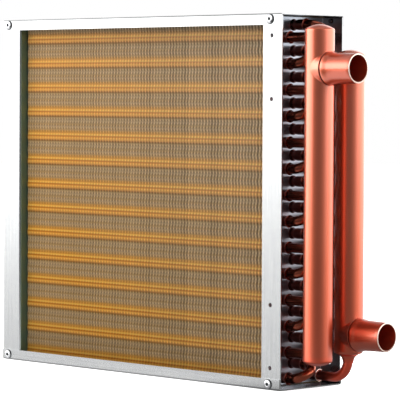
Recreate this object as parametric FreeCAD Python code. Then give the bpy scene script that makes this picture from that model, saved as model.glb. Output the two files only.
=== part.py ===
import FreeCAD, Part
import math
import os

# Air-to-water coil: a water-heating or cooling coil for a duct or a furnace plenum.
# Copper hairpin tubes run through a block of aluminium fins between two folded end sheets,
# and two copper headers feed the tubes as seven parallel circuits.
# Frame: origin at the middle of the casing's underside, +X towards the headers, +Y away from
# the face that the air enters, +Z up. Millimetres.

# Tubes, three rows deep and staggered by half a pitch
TUBE_DIAMETER = 9.52          # three-eighths of an inch outside
TUBE_PITCH = 25.4             # up a row, and also the centres of every bend
ROW_PITCH = 22.0              # from one row to the next, so the lattice is of equal triangles
TUBES_IN_ROW = 14
TUBE_FIT = 0.1                # radial gap of a tube in its holes
FLATS = 12                    # flats that stand for the round of small tubes and rivets
BEND_STEPS = 6                # flat steps that stand for the round of a half turn

# Fins, cut from one block with a comb of grooves on each air face
FINNED_LENGTH = 355.6
FIN_PITCH = 25.4 / 12         # twelve fins to the inch
FINS_PER_GROOVE = 3
GROOVE_WIDTH = 1.2
GROOVE_DEPTH = 5.0

# Casing of folded galvanised sheet
SHEET = 1.2
FOLD_RADIUS = 1.0             # inside radius of every fold
CASE_DEPTH = 88.9
END_FLANGE = 25.4             # end sheet's flange, beyond its web
CHANNEL_LIP = 11.0
FIN_TO_CHANNEL = 2.5

# Rivets at the corners and screw holes in the header end's flanges
RIVET_HEAD = 9.0
RIVET_HEAD_RISE = 1.7
RIVET_HEAD_RIM = 0.5
RIVET_SHANK = 3.2
RIVET_SHANK_BEYOND = 1.5      # shank's end, past the two sheets
RIVET_FIT = 0.05
RIVET_FROM_PLAIN_END = 9.0
RIVET_FROM_HEADER_END = 15.0
SCREW_HOLE = 4.2
SCREW_FROM_EDGE = 13.8
OUTER_SCREW_SPACING = 320.4
INNER_SCREW_SPACING = 198.4

# Bends and the places where tubes leave the sheets
HAIRPIN_STRAIGHT = 4.0        # beyond the plain end sheet, before the bend
JOINT_FROM_SHEET = 17.0       # where hairpin ends meet bends and feeders
RETURN_STRAIGHT = 20.0        # beyond the header end sheet, before the bend

# Headers and ports
HEADER_DIAMETER = 28.6        # one-inch nominal copper tube
HEADER_WALL = 1.2
HEADER_FROM_SHEET = 54.4      # header axis, from the header end sheet's outer face
SUPPLY_HEADER_BELOW = 6.4     # header's end below its lowest feeder
SUPPLY_HEADER_ABOVE = 5.4
RETURN_HEADER_BELOW = 26.5
RETURN_HEADER_ABOVE = 11.0
CAP_HEIGHT = 4.0
CAP_EDGE_BEVEL = 2.0
FEEDER_INTO_HEADER = 2.0      # feeder's end, beyond the header's outer face
PORT_DIAMETER = 28.6
PORT_WALL = 1.2
PORT_LENGTH = 49.5            # from the header's axis to the mouth
COLLAR_DIAMETER = 31.0        # collar at the root of a port
COLLAR_BORE = 24.0            # also the hole in the header's wall
COLLAR_START = 6.0            # from the header's axis
COLLAR_BEYOND = 2.0           # collar's end, past the header's outer face
SUPPLY_PORT_BELOW_TOP = 35.7
RETURN_PORT_ABOVE_END = 19.0
ELBOW_RADIUS = 16.0
REDUCER_HEIGHT = 8.0

# Worked out from the values above
HAIRPINS_IN_ROW = TUBES_IN_ROW // 2
FIN_HEIGHT = TUBES_IN_ROW * TUBE_PITCH
FIN_DEPTH = 3 * ROW_PITCH
FIN_BOTTOM = SHEET + FIN_TO_CHANNEL
CASE_HEIGHT = FIN_HEIGHT + 2 * FIN_BOTTOM
HALF_FINNED = FINNED_LENGTH / 2
SHEET_OUTSIDE = HALF_FINNED + SHEET
HALF_CASE = SHEET_OUTSIDE + END_FLANGE
FLANGE_FACE = CASE_DEPTH / 2 - SHEET
TUBE_RADIUS = TUBE_DIAMETER / 2
HOLE_RADIUS = TUBE_RADIUS + TUBE_FIT
FRONT_ROW, MIDDLE_ROW, BACK_ROW = -ROW_PITCH, 0.0, ROW_PITCH
JOINT_X = SHEET_OUTSIDE + JOINT_FROM_SHEET
HEADER_X = SHEET_OUTSIDE + HEADER_FROM_SHEET
HEADER_RADIUS = HEADER_DIAMETER / 2
HEADER_BORE = HEADER_RADIUS - HEADER_WALL
PORT_RADIUS = PORT_DIAMETER / 2
COLLAR_RADIUS = COLLAR_DIAMETER / 2
COLLAR_END = HEADER_RADIUS + COLLAR_BEYOND

X_AXIS = FreeCAD.Vector(1, 0, 0)
Y_AXIS = FreeCAD.Vector(0, 1, 0)
Z_AXIS = FreeCAD.Vector(0, 0, 1)


def at(x, y, z):
    return FreeCAD.Vector(x, y, z)


def tube_height(row_y, place):
    """Height of a tube: the middle row is staggered up by half a pitch."""
    stagger = TUBE_PITCH / 2 if row_y == MIDDLE_ROW else 0.0
    return FIN_BOTTOM + TUBE_PITCH / 4 + stagger + place * TUBE_PITCH


def tube_places():
    """Row and height of all the tubes."""
    rows = (FRONT_ROW, MIDDLE_ROW, BACK_ROW)
    return [(y, tube_height(y, i)) for y in rows for i in range(TUBES_IN_ROW)]


def ring(radius, centre, side, up):
    """Corners of a flat-sided ring about centre, in the plane of the vectors side and up."""
    turns = [2 * math.pi * k / FLATS for k in range(FLATS)]
    return [centre + side * (radius * math.cos(t)) + up * (radius * math.sin(t)) for t in turns]


def ring_across_x(radius, x, y, z):
    return ring(radius, at(x, y, z), Y_AXIS, Z_AXIS)


def turned(points, pivot, axis, degrees):
    spin = FreeCAD.Rotation(axis, degrees)
    return [pivot + spin.multVec(p - pivot) for p in points]


def closed_face(points):
    return Part.Face(Part.makePolygon(points + points[:1]))


def solid_from_rings(rings):
    """Solid whose flat sides join each ring of corners to the next, with a flat at each end."""
    faces = [closed_face(rings[0]), closed_face(rings[-1])]
    for first, second in zip(rings, rings[1:]):
        for k in range(FLATS):
            faces.append(closed_face([first[k - 1], first[k], second[k], second[k - 1]]))
    return Part.Solid(Part.Shell(faces))


def small_tube(radius, x_from, x_to, y, z):
    return solid_from_rings([ring_across_x(radius, x, y, z) for x in (x_from, x_to)])


def bent_tube(x_end, x_bend, start, end):
    """U of tube: a leg from x_end to x_bend at start, (y, z), a half turn, and a leg back at end."""
    first, last = at(x_bend, *start), at(x_bend, *end)
    outward = X_AXIS if x_bend > x_end else -X_AXIS
    pivot, axis = (first + last) / 2, outward.cross(last - first)
    leg_end = ring_across_x(TUBE_RADIUS, x_end, *start)
    bend_start = ring_across_x(TUBE_RADIUS, x_bend, *start)
    rings = [turned(bend_start, pivot, axis, 180 * k / BEND_STEPS) for k in range(BEND_STEPS + 1)]
    return solid_from_rings([leg_end] + rings + [turned(leg_end, at(x_end, *pivot[1:]), axis, 180)])


def ring_wall(radius, wall, length, base, axis):
    outside = Part.makeCylinder(radius, length, base, axis)
    return outside.cut(Part.makeCylinder(radius - wall, length, base, axis))


def u_profile(half_width, lip, sheet, fold):
    """Section of a sheet folded twice, in the XY plane. The web's outer face lies on X = 0, and
    the lips reach out along +X with their outer faces at Y = half_width and at -half_width."""
    outside = Part.makeBox(lip, 2 * half_width, sheet, at(0, -half_width, 0))
    corner = [e for e in outside.Edges if is_upright(e) and e.CenterOfMass.x < sheet / 2]
    outside = outside.makeFillet(fold + sheet, corner)
    hollow = Part.makeBox(lip, 2 * (half_width - sheet), sheet, at(sheet, sheet - half_width, 0))
    corner = [e for e in hollow.Edges if is_upright(e) and e.CenterOfMass.x < 1.5 * sheet]
    hollow = hollow.makeFillet(fold, corner)
    slice_of_sheet = outside.cut(hollow)
    return [f for f in slice_of_sheet.Faces if f.CenterOfMass.z < 1e-6][0]


def is_upright(edge):
    first, last = edge.Vertexes[0].Point, edge.Vertexes[-1].Point
    return abs(first.x - last.x) < 1e-6 and abs(first.y - last.y) < 1e-6


def tube_holes(x_from, x_to):
    return [small_tube(HOLE_RADIUS, x_from, x_to, y, z) for y, z in tube_places()]


def rivet_places():
    """X and Z of each corner rivet, the same on the front and the back."""
    mid_lip = CHANNEL_LIP / 2
    sides = (RIVET_FROM_PLAIN_END - HALF_CASE, HALF_CASE - RIVET_FROM_HEADER_END)
    return [(x, z) for x in sides for z in (mid_lip, CASE_HEIGHT - mid_lip)]


def rivet_holes():
    """One rod through front and back for each corner."""
    radius, half = RIVET_SHANK / 2 + RIVET_FIT, CASE_DEPTH / 2
    ends = [[ring(radius, at(x, y, z), X_AXIS, Z_AXIS) for y in (-half, half)] for x, z in rivet_places()]
    return [solid_from_rings(rings) for rings in ends]


def screw_holes():
    """Rods for the screw holes in both flanges of the header end sheet."""
    x, middle = HALF_CASE - SCREW_FROM_EDGE, CASE_HEIGHT / 2
    rises = [s * gap / 2 for gap in (OUTER_SCREW_SPACING, INNER_SCREW_SPACING) for s in (-1, 1)]
    start = -CASE_DEPTH / 2
    return [Part.makeCylinder(SCREW_HOLE / 2, CASE_DEPTH, at(x, start, middle + r), Y_AXIS) for r in rises]


def end_sheet(side):
    """Tube sheet at one end, side +1 for the header end. Its flanges turn outwards."""
    short = SHEET + FOLD_RADIUS
    sheet = u_profile(FLANGE_FACE, SHEET + END_FLANGE, SHEET, FOLD_RADIUS)
    sheet = sheet.extrude(Z_AXIS * (CASE_HEIGHT - 2 * short))
    sheet.translate(at(HALF_FINNED, 0, short))
    if side < 0:
        sheet = sheet.mirror(at(0, 0, 0), X_AXIS)
    holes = tube_holes(side * HALF_FINNED, side * SHEET_OUTSIDE) + rivet_holes()
    if side > 0:
        holes += screw_holes()
    return sheet.cut(holes)


def bottom_channel():
    channel = u_profile(CASE_DEPTH / 2, CHANNEL_LIP, SHEET, FOLD_RADIUS)
    channel = channel.extrude(Z_AXIS * (2 * HALF_CASE))
    channel.rotate(at(0, 0, 0), Y_AXIS, -90)
    channel.translate(at(HALF_CASE, 0, 0))
    return channel.cut(rivet_holes())


def top_channel():
    return bottom_channel().mirror(at(0, 0, CASE_HEIGHT / 2), Z_AXIS)


def fin_pack():
    """All the fins as one block, bored for the tubes and grooved up and down on both air faces."""
    base = at(-HALF_FINNED, -FIN_DEPTH / 2, FIN_BOTTOM)
    block = Part.makeBox(FINNED_LENGTH, FIN_DEPTH, FIN_HEIGHT, base)
    spacing = FINS_PER_GROOVE * FIN_PITCH
    count = int(FINNED_LENGTH / spacing + 0.5)
    grooves = []
    for k in range(count):
        x = (k + 0.5 - count / 2) * spacing - GROOVE_WIDTH / 2
        for y in (-FIN_DEPTH / 2, FIN_DEPTH / 2 - GROOVE_DEPTH):
            grooves.append(Part.makeBox(GROOVE_WIDTH, GROOVE_DEPTH, FIN_HEIGHT, at(x, y, FIN_BOTTOM)))
    return block.cut(grooves).cut(tube_holes(-HALF_FINNED, HALF_FINNED))


def circuit_hairpins(circuit):
    """The three long U tubes of one circuit, one in each row, all bent at the plain end."""
    bend_x = -(SHEET_OUTSIDE + HAIRPIN_STRAIGHT)
    place = 2 * circuit
    tubes = []
    for row in (FRONT_ROW, MIDDLE_ROW, BACK_ROW):
        low, high = tube_height(row, place), tube_height(row, place + 1)
        tubes.append(bent_tube(JOINT_X, bend_x, (row, low), (row, high)))
    return Part.makeCompound(tubes)


def return_bends():
    """Short U bends at the header end, two to a circuit, each slanting to the next row."""
    bend_x = SHEET_OUTSIDE + RETURN_STRAIGHT
    bends = []
    for place in range(0, TUBES_IN_ROW, 2):
        front = (FRONT_ROW, tube_height(FRONT_ROW, place))
        middle_low = (MIDDLE_ROW, tube_height(MIDDLE_ROW, place))
        middle_high = (MIDDLE_ROW, tube_height(MIDDLE_ROW, place + 1))
        back = (BACK_ROW, tube_height(BACK_ROW, place + 1))
        bends.append(bent_tube(JOINT_X, bend_x, front, middle_low))
        bends.append(bent_tube(JOINT_X, bend_x, middle_high, back))
    return Part.makeCompound(bends)


def supply_heights():
    return [tube_height(FRONT_ROW, i) for i in range(1, TUBES_IN_ROW, 2)]


def return_heights():
    """The lowest back-row tube is fed by the elbow, so it isn't here."""
    return [tube_height(BACK_ROW, i) for i in range(2, TUBES_IN_ROW, 2)]


def feeders(row, heights):
    end = HEADER_X - HEADER_RADIUS + FEEDER_INTO_HEADER
    return Part.makeCompound([small_tube(TUBE_RADIUS, JOINT_X, end, row, z) for z in heights])


def header(row, heights, low, high, port_z):
    """Upright tube, drilled for its feeders on one side and for its port on the other."""
    tube = ring_wall(HEADER_RADIUS, HEADER_WALL, high - low, at(HEADER_X, row, low), Z_AXIS)
    holes = [small_tube(HOLE_RADIUS, HEADER_X - HEADER_DIAMETER, HEADER_X, row, z) for z in heights]
    holes.append(Part.makeCylinder(COLLAR_BORE / 2, HEADER_DIAMETER, at(HEADER_X, row, port_z), X_AXIS))
    return tube.cut(holes)


def port(row, z):
    """Stub that the water pipe joins, on a collar that is saddled onto the header."""
    wall, start = COLLAR_RADIUS - COLLAR_BORE / 2, at(HEADER_X + COLLAR_START, row, z)
    collar = ring_wall(COLLAR_RADIUS, wall, COLLAR_END - COLLAR_START, start, X_AXIS)
    body = Part.makeCylinder(HEADER_RADIUS, COLLAR_DIAMETER, at(HEADER_X, row, z - COLLAR_RADIUS), Z_AXIS)
    start = at(HEADER_X + COLLAR_END, row, z)
    stub = ring_wall(PORT_RADIUS, PORT_WALL, PORT_LENGTH - COLLAR_END, start, X_AXIS)
    return collar.cut(body).fuse(stub)


def plain_cap(row, z, axis):
    """Cap brazed on the end of a header, its edge bevelled."""
    puck = Part.makeCylinder(HEADER_RADIUS, CAP_HEIGHT, at(HEADER_X, row, z), axis)
    rim = [e for e in puck.Edges if abs((e.CenterOfMass.z - z) * axis.z - CAP_HEIGHT) < 1e-6]
    return puck.makeChamfer(CAP_EDGE_BEVEL, rim)


def reducing_cap(row, z):
    """Cap drawn down to the size of the small tube that leaves it."""
    shoulder, neck = REDUCER_HEIGHT / 4, TUBE_RADIUS + HEADER_WALL
    taper_height, foot = REDUCER_HEIGHT - shoulder, at(HEADER_X, row, z - REDUCER_HEIGHT)
    drum = Part.makeCylinder(HEADER_RADIUS, shoulder, at(HEADER_X, row, z - shoulder), Z_AXIS)
    return drum.fuse(Part.makeCone(neck, HEADER_RADIUS, taper_height, foot))


def elbow(row, z_top):
    """Small tube from under the return header to the lowest tube of the back row."""
    z = tube_height(BACK_ROW, 0)
    bend_x = HEADER_X - ELBOW_RADIUS
    pivot, steps = at(bend_x, row, z + ELBOW_RADIUS), BEND_STEPS // 2
    bend_start = ring_across_x(TUBE_RADIUS, bend_x, row, z)
    rings = [ring_across_x(TUBE_RADIUS, JOINT_X, row, z)]
    rings += [turned(bend_start, pivot, -Y_AXIS, 90 * k / steps) for k in range(steps + 1)]
    rings.append([at(p.x, p.y, z_top) for p in rings[-1]])
    return solid_from_rings(rings)


def rivet(x, z, side):
    """Low-domed rivet with its head on the front (side -1) or the back (side +1)."""
    head, shank = RIVET_HEAD / 2, RIVET_SHANK / 2
    profile = [(shank, -2 * SHEET - RIVET_SHANK_BEYOND), (shank, 0), (head, 0)]
    profile += [(head, RIVET_HEAD_RIM), (head / 2, RIVET_HEAD_RISE)]
    face = side * CASE_DEPTH / 2
    return solid_from_rings([ring(r, at(x, face + side * h, z), X_AXIS, Z_AXIS) for r, h in profile])


def corner_rivets(side):
    return Part.makeCompound([rivet(x, z, side) for x, z in rivet_places()])


def build():
    supply, back = supply_heights(), return_heights()
    supply_low, supply_high = supply[0] - SUPPLY_HEADER_BELOW, supply[-1] + SUPPLY_HEADER_ABOVE
    return_low, return_high = back[0] - RETURN_HEADER_BELOW, back[-1] + RETURN_HEADER_ABOVE
    supply_port_z = supply_high - SUPPLY_PORT_BELOW_TOP
    return_port_z = return_low + RETURN_PORT_ABOVE_END
    caps = [
        plain_cap(FRONT_ROW, supply_high, Z_AXIS),
        plain_cap(FRONT_ROW, supply_low, -Z_AXIS),
        plain_cap(BACK_ROW, return_high, Z_AXIS),
        reducing_cap(BACK_ROW, return_low),
    ]
    nodes = {
        "top_channel": top_channel(),
        "bottom_channel": bottom_channel(),
        "header_end_sheet": end_sheet(1),
        "bend_end_sheet": end_sheet(-1),
        "fin_pack": fin_pack(),
        "return_bends": return_bends(),
        "supply_feeders": feeders(FRONT_ROW, supply),
        "return_feeders": feeders(BACK_ROW, back),
        "return_elbow": elbow(BACK_ROW, return_low - REDUCER_HEIGHT),
        "supply_header": header(FRONT_ROW, supply, supply_low, supply_high, supply_port_z),
        "return_header": header(BACK_ROW, back, return_low, return_high, return_port_z),
        "supply_port": port(FRONT_ROW, supply_port_z),
        "return_port": port(BACK_ROW, return_port_z),
        "header_caps": Part.makeCompound(caps),
        "front_rivets": corner_rivets(-1),
        "back_rivets": corner_rivets(1),
    }
    for circuit in range(HAIRPINS_IN_ROW):
        nodes["circuit_%d_hairpins" % (circuit + 1)] = circuit_hairpins(circuit)
    return nodes


os.makedirs("parts", exist_ok=True)
for name, shape in build().items():
    shape.exportStep("parts/%s.step" % name)
    box = shape.BoundBox
    print("%-22s %2d solids %9.0f mm3  x %7.1f %7.1f  y %6.1f %6.1f  z %6.1f %6.1f  valid %s" % (
        name, len(shape.Solids), shape.Volume, box.XMin, box.XMax, box.YMin, box.YMax,
        box.ZMin, box.ZMax, shape.isValid()))
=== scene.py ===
# %% [markdown]
# # A boxed water coil, dressed for the camera
# A water coil is a stack of thin aluminium fins on copper tubes. Hot or cold water runs through the
# tubes, air blows between the fins, and two upright pipes at one end share the water out. The CAD
# model holds its real sizes. This lesson gives it real surfaces: thin rippled fins, round tubes,
# brazed joints, folded zinc-coated sheet, and the light of a photographer's studio.
#
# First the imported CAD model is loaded. It is the fixed frame, in metres, and nothing here moves it.

# %% Load the frame
import math

import bmesh
import bpy
import numpy as np
from mathutils import Matrix, Vector


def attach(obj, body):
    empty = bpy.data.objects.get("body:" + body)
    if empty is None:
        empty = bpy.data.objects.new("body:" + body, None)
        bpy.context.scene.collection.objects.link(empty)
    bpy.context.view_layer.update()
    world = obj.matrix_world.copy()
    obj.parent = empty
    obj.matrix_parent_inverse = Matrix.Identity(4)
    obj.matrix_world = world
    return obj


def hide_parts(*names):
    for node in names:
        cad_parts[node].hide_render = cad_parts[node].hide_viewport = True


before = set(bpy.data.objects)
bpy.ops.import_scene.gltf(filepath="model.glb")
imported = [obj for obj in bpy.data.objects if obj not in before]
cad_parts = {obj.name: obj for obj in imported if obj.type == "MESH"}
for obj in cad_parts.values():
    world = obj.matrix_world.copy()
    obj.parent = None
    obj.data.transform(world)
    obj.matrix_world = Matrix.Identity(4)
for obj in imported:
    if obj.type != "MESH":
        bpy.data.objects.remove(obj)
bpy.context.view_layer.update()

print("CAD nodes:", len(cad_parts))

# %% [markdown]
# ## Sizes
# The coil is drawn in millimetres, as a workshop would, and only the last step turns them to metres.
# These sizes are the CAD model's own, so that each fine surface lies where its plain solid did. X runs
# along the tubes to the pipe end, Y through the fins from the front, and Z up.

# %% Sizes of the coil
MM = 0.001
TUBE = 4.76                    # radius of a small tube
PITCH = 25.4                   # from one tube to the next, up a row
ROWS = (-22.0, 0.0, 22.0)      # front, middle and back row of tubes
TUBES_IN_ROW = 14
FIN_BOTTOM = 3.7
FIN_HEIGHT = TUBES_IN_ROW * PITCH
HALF_FINNED = 177.8
FIN_FACE = 33.0                # from the middle plane to an air face of the fins
HALF_CASE = 204.4
HALF_DEPTH = 44.45
CASE_HEIGHT = 363.0
CHANNEL_LIP = 11.0             # height of the lips folded on the top and bottom channels
SHEET_FACE = 179.0             # outer face of each end sheet
JOINT_X = 196.0                # where bends and feeders enter the tubes
HEADER_X = 233.4
HEADER = 14.3                  # outside radius of a header, and of a port


def tube_height(row, place):
    """The lowest tube is a quarter pitch up the fins, and the middle row is half a pitch higher."""
    return FIN_BOTTOM + PITCH / 4 + (PITCH / 2 if row == 0 else 0) + place * PITCH


print("casing %.1f x %.1f x %.1f mm" % (2 * HALF_CASE, 2 * HALF_DEPTH, CASE_HEIGHT))

# %% [markdown]
# ## The camera
# The photograph looks along the coil's diagonal from a long way off, with a long lens, so the upright
# edges hardly lean. A camera could be moved about by hand until it looks right. Here the place, the
# three angles and the lens were solved together instead, by least squares, from the corners, the rivets,
# the pipe mouths and the screw holes, and only the answer is written down.

# %% Camera
FOCAL_PIXELS, PICTURE_PIXELS = 2524.7, 400
SENSOR = 36.0                  # width in millimetres
CAMERA_PLACE = Vector((1.8631, -1.8025, 0.2841))
turn, rise, lean = (math.radians(a) for a in (45.1604, -2.379, 0.285))

forward = Vector((-math.sin(turn) * math.cos(rise), math.cos(turn) * math.cos(rise), math.sin(rise)))
sideways = Vector((math.cos(turn), math.sin(turn), 0))
upward = sideways.cross(forward)
right = sideways * math.cos(lean) + upward * math.sin(lean)
up = upward * math.cos(lean) - sideways * math.sin(lean)

lens = bpy.data.cameras.new("camera")
lens.sensor_width = SENSOR
lens.lens = FOCAL_PIXELS / PICTURE_PIXELS * SENSOR
camera = bpy.data.objects.new("camera", lens)
stand = Matrix((right, up, -forward)).transposed().to_4x4()
camera.matrix_world = Matrix.Translation(CAMERA_PLACE) @ stand
bpy.context.scene.collection.objects.link(camera)
bpy.context.scene.camera = camera
print("lens of %.0f mm, %.2f m from the coil's foot" % (lens.lens, CAMERA_PLACE.length))

# %% [markdown]
# ## Surfaces from arrays
# Nearly all of this coil is tubes and turned shapes. They could be curves with a round bevel, but a
# curve's radius changes only smoothly, and these have lips and steps. So one idea makes them all: a
# profile is a list of stations, each with a place along a line and a radius. Every station becomes a
# ring of points, and the rings are joined by four-sided faces. Numpy works out all the points at once.
# Rings of no radius close the ends, and where points coincide they are welded.

# %% Grids, rings and turned shapes
TURNS = 28                     # points round a small tube


def grid_faces(rows, columns):
    """Four-sided faces over rows of points, where each row is a closed ring: a face joins a point, the
    next one in its ring, and the same two in the next row."""
    r, c = np.meshgrid(np.arange(rows - 1), np.arange(columns), indexing="ij")
    ahead = (c + 1) % columns
    corners = (r * columns + c, r * columns + ahead, (r + 1) * columns + ahead, (r + 1) * columns + c)
    return np.stack(corners, -1).reshape(-1, 4)


def rings(centres, side, other, radii, turns=TURNS):
    """Skin of a tube. Point (i, a) = centre i + radius i x (side i x cos a + other i x sin a)."""
    a = np.linspace(0, 2 * np.pi, turns, endpoint=False)[None, :, None]
    centres, side, other = (np.asarray(v, float)[:, None, :] for v in (centres, side, other))
    radii = np.asarray(radii, float)[:, None, None]
    points = centres + radii * (side * np.cos(a) + other * np.sin(a))
    return points.reshape(-1, 3), grid_faces(len(radii), turns)


def lathe(stations, place, axis, turns=TURNS):
    """Turned shape. Each station is (distance along the axis from place, radius)."""
    along, radii = np.array(stations, float).T
    axis = np.array(axis, float)
    side = np.array((0.0, 0.0, 1.0)) if abs(axis[2]) < 0.5 else np.array((1.0, 0.0, 0.0))
    other = np.cross(axis, side)
    spread = np.ones((len(along), 1))
    centres = np.array(place, float) + along[:, None] * axis
    return rings(centres, spread * side, spread * other, radii, turns)


print("a ring of %d points has flats %.2f mm wide" % (TURNS, 2 * TUBE * math.sin(math.pi / TURNS)))


# %% Welded pieces
def weld(mesh):
    """Joins points that lie within a micrometre of each other, and turns every face outwards."""
    shape = bmesh.new()
    shape.from_mesh(mesh)
    bmesh.ops.remove_doubles(shape, verts=shape.verts, dist=1e-3 * MM)
    bmesh.ops.recalc_face_normals(shape, faces=shape.faces)
    shape.to_mesh(mesh)
    shape.free()


def piece(name, surfaces, nodes=(), sharp=35):
    """One object from several surfaces in millimetres: welded, faces outwards, round sides smooth."""
    starts = np.cumsum([0] + [len(points) for points, _ in surfaces])
    points = np.concatenate([p for p, _ in surfaces]) * MM
    corners = np.concatenate([faces + start for (_, faces), start in zip(surfaces, starts)])
    mesh = bpy.data.meshes.new(name)
    mesh.vertices.add(len(points))
    mesh.vertices.foreach_set("co", points.ravel())
    mesh.loops.add(corners.size)
    mesh.loops.foreach_set("vertex_index", corners.ravel().astype(np.int32))
    mesh.polygons.add(len(corners))
    mesh.polygons.foreach_set("loop_start", np.arange(0, corners.size, 4, dtype=np.int32))
    mesh.update(calc_edges=True)
    weld(mesh)
    mesh.polygons.foreach_set("use_smooth", np.ones(len(mesh.polygons), bool))
    mesh.set_sharp_from_angle(angle=math.radians(sharp))
    made = bpy.data.objects.new(name, mesh)
    bpy.context.scene.collection.objects.link(made)
    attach(made, "root")
    if nodes:
        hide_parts(*nodes)
    print("%-24s %6d faces" % (name, len(mesh.polygons)))
    return made


# %% [markdown]
# ## Hairpins
# A hairpin is one long copper tube bent into a U at the far end, so each bend saves two brazed joints.
# At the pipe end its two legs are belled: a tool widens each mouth into a cup that a bend or feeder can
# enter, and leaves a thin lip. It could be a tube swept by hand and cut in a mesh editor, but there are
# twenty-one. The line of a U is a straight leg, half a circle and a leg back, and the cup is only a
# change of radius along the first and last few millimetres.

# %% Line of a U and the hairpins
BEND_STEPS = 20
BEND_X = -(SHEET_FACE + 4.0)   # where the half circle starts at the bend end
CUP = [(190.5, 0), (190.5, 4.9), (195.2, 4.9), (195.7, 5.3), (196.0, 5.8), (195.9, 6.15), (195.5, 6.2),
       (194.9, 5.9), (194.0, 5.5), (192.5, 5.35), (186.0, 5.35), (185.0, 5.2), (184.0, 4.9), (183.2, TUBE)]


def u_tube(leg, x_bend, start, end):
    """U of tube. leg is stations of (x, radius) up to the bend, start and end the legs' (y, z). Round
    the bend, at angle t: x = x_bend + R sin t, and the way across is R (1 - cos t), for half the gap R."""
    start, end = np.array(start, float), np.array(end, float)
    radius = np.linalg.norm(end - start) / 2
    across = np.concatenate([[0.0], (end - start) / (2 * radius)])
    out = np.array([np.sign(x_bend - leg[0][0]), 0.0, 0.0])
    leg_x, leg_r = np.array(leg, float).T
    t = np.linspace(0, np.pi, BEND_STEPS + 1)
    heading = np.concatenate([0 * leg_x, t, 0 * leg_x + np.pi])
    reach = out[0] * radius * np.sin(t)
    x = np.concatenate([leg_x, x_bend + reach, leg_x[::-1]])
    gone = np.concatenate([0 * leg_x, radius * (1 - np.cos(t)), 0 * leg_x + 2 * radius])
    centres = np.array([0.0, *start]) + x[:, None] * np.array([1.0, 0.0, 0.0]) + gone[:, None] * across
    side = np.cos(heading)[:, None] * across - np.sin(heading)[:, None] * out
    other = np.ones_like(side) * np.cross(out, across)
    return rings(centres, side, other, np.concatenate([leg_r, 0 * t + TUBE, leg_r[::-1]]))


copper_pieces = []
for circuit in range(TUBES_IN_ROW // 2):
    places = [[(row, tube_height(row, 2 * circuit + i)) for i in (0, 1)] for row in ROWS]
    tubes = [u_tube(CUP, BEND_X, low, high) for low, high in places]
    name = "circuit_%d_hairpins" % (circuit + 1)
    copper_pieces.append(piece("round_" + name, tubes, [name]))

# %% [markdown]
# ## Return bends and feeders
# Short U bends carry the water from one row to the next, and straight feeders join the front and back
# rows to the headers. Each enters a cup and is brazed there, and the alloy leaves a small fillet. It is
# drawn as a slight swelling of the tube at the lip, where a real fillet would need a surface of its
# own. The same swelling, wider, closes each feeder onto the header.

# %% Return bends
RETURN_X = SHEET_FACE + 20.0
JOINT = [(191.0, 0), (191.0, TUBE), (195.2, TUBE), (195.5, 5.15), (196.4, 5.0), (197.4, TUBE)]

bends = []
for place in range(0, TUBES_IN_ROW, 2):
    front = (ROWS[0], tube_height(ROWS[0], place))
    middle_low = (ROWS[1], tube_height(ROWS[1], place))
    middle_high = (ROWS[1], tube_height(ROWS[1], place + 1))
    back = (ROWS[2], tube_height(ROWS[2], place + 1))
    bends.append(u_tube(JOINT, RETURN_X, front, middle_low))
    bends.append(u_tube(JOINT, RETURN_X, middle_high, back))
copper_pieces.append(piece("round_return_bends", bends, ["return_bends"]))

# %% Feeders
X_AXIS, Y_AXIS, Z_AXIS = np.eye(3)
FEEDER = JOINT + [(216.2, TUBE), (217.6, 4.95), (218.8, 5.5), (219.8, 6.4), (220.6, 6.6), (221.0, 0)]


def feeder_set(name, row, places):
    """Straight tubes from a row's cups to its header, one for each number in places."""
    tubes = [lathe(FEEDER, (0, row, tube_height(row, i)), X_AXIS) for i in places]
    return piece("round_" + name, tubes, [name])


copper_pieces.append(feeder_set("supply_feeders", ROWS[0], range(1, TUBES_IN_ROW, 2)))
copper_pieces.append(feeder_set("return_feeders", ROWS[2], range(2, TUBES_IN_ROW, 2)))

# %% [markdown]
# ## Headers
# A header is a wide copper tube, closed by a cap at each end. Where a port joins it, the wall is drawn
# out into a collar, so the joint is smooth. The hole behind the port is drilled with a Boolean, which is
# the plain way for a hole through a curved wall.

# %% Headers, with a hole drilled behind each port
HEADER_TURNS = 64
HEADER_WALL = 1.2
HOLE = 12.0                    # radius of the hole behind a port
SUPPLY_LOW, SUPPLY_HIGH = 31.5, 345.6
RETURN_LOW, RETURN_HIGH = 37.0, 322.0
SUPPLY_PORT_Z, RETURN_PORT_Z = 309.95, 53.35


def drill(target, centre, axis, radius, depth):
    """Cuts a round hole, as a drill would, with a Boolean modifier that is then made real."""
    points, faces = lathe([(0, 0), (0, radius), (depth, radius), (depth, 0)], centre, axis, 48)
    mesh = bpy.data.meshes.new("drill")
    mesh.from_pydata((points * MM).tolist(), [], faces.tolist())
    weld(mesh)
    tool = bpy.data.objects.new("drill", mesh)
    bpy.context.scene.collection.objects.link(tool)
    cut = target.modifiers.new("hole", "BOOLEAN")
    cut.operation, cut.solver, cut.object = "DIFFERENCE", "EXACT", tool
    view = bpy.context.evaluated_depsgraph_get()
    target.data = bpy.data.meshes.new_from_object(target.evaluated_get(view))
    target.modifiers.clear()
    bpy.data.objects.remove(tool)
    return target


def header(name, row, low, high, port_z):
    """Tube with a real wall, open at both ends under its caps."""
    inside = HEADER - HEADER_WALL
    wall = [(0, inside), (0, HEADER), (high - low, HEADER), (high - low, inside), (0, inside)]
    made = piece("round_" + name, [lathe(wall, (HEADER_X, row, low), Z_AXIS, HEADER_TURNS)],
                 [name])
    return drill(made, (HEADER_X, row, port_z), X_AXIS, HOLE, 2 * HEADER)


copper_pieces.append(header("supply_header", ROWS[0], SUPPLY_LOW, SUPPLY_HIGH, SUPPLY_PORT_Z))
copper_pieces.append(header("return_header", ROWS[2], RETURN_LOW, RETURN_HIGH, RETURN_PORT_Z))

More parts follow.
